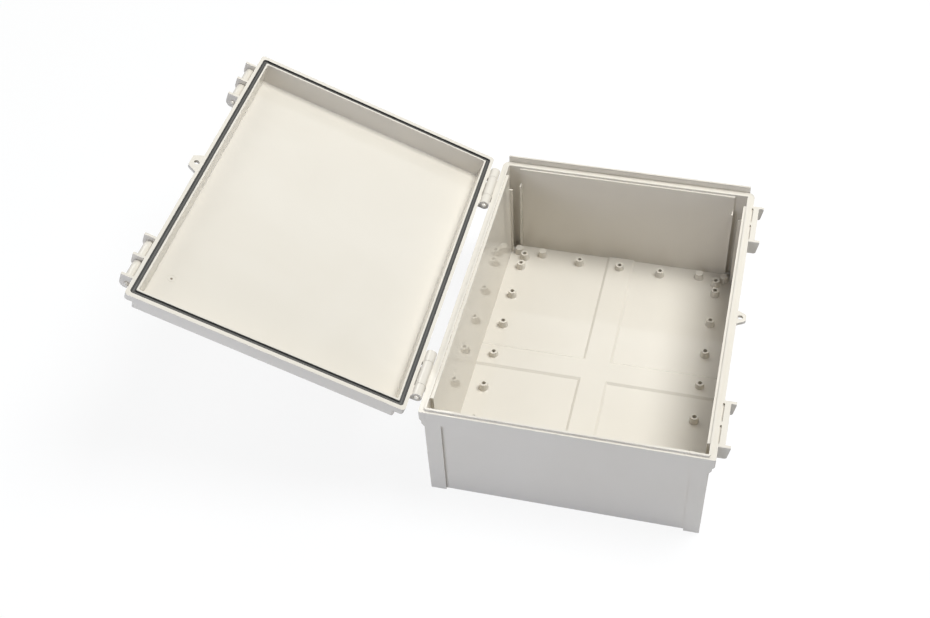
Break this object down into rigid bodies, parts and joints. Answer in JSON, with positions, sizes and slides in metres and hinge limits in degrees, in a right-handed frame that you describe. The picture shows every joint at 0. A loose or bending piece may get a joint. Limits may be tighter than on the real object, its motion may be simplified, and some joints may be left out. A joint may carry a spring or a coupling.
{
  "type": "hinged enclosure",
  "caption": "Deep moulded plastic wall enclosure with a hinged lid, hooked latch clips, a rim gasket, a rain hood and a floor full of screw bosses.",
  "frame": {"origin": "centre of the flat back face of the base", "axes": "+Z out of the opening, +X from the hinges to the latches, +Y towards the end with the rain hood"},
  "size_m": [0.6186, 0.403, 0.2468],
  "materials": {
    "shell": "glossy moulded polycarbonate, warm light grey",
    "clip": "glossy moulded plastic, warm light grey",
    "pin": "moulded plastic pin, warm light grey",
    "gasket": "dark grey-green foam rubber with a skin"
  },
  "bodies": {
    "base": {"base": "shell", "hinge_pin_far": "pin", "hinge_pin_near": "pin"},
    "lid": {"lid": "shell", "gasket": "gasket", "latch_pin_far": "pin", "latch_pin_near": "pin"},
    "latch_far": {"latch_far": "clip"},
    "latch_near": {"latch_near": "clip"}
  },
  "joints": [
    {"name": "lid_hinge", "type": "hinge", "parent": "base", "child": "lid", "pos_m": [-0.1562, 0, 0.128], "axis": [0, 1, 0], "range_deg": [0, 158]},
    {"name": "latch_far_pivot", "type": "hinge", "parent": "lid", "child": "latch_far", "pos_m": [-0.44881, 0.1486, 0.23371], "axis": [0, 1, 0], "range_deg": [-8, 191]},
    {"name": "latch_near_pivot", "type": "hinge", "parent": "lid", "child": "latch_near", "pos_m": [-0.44881, -0.1486, 0.23371], "axis": [0, 1, 0], "range_deg": [-8, 191]}
  ]
}
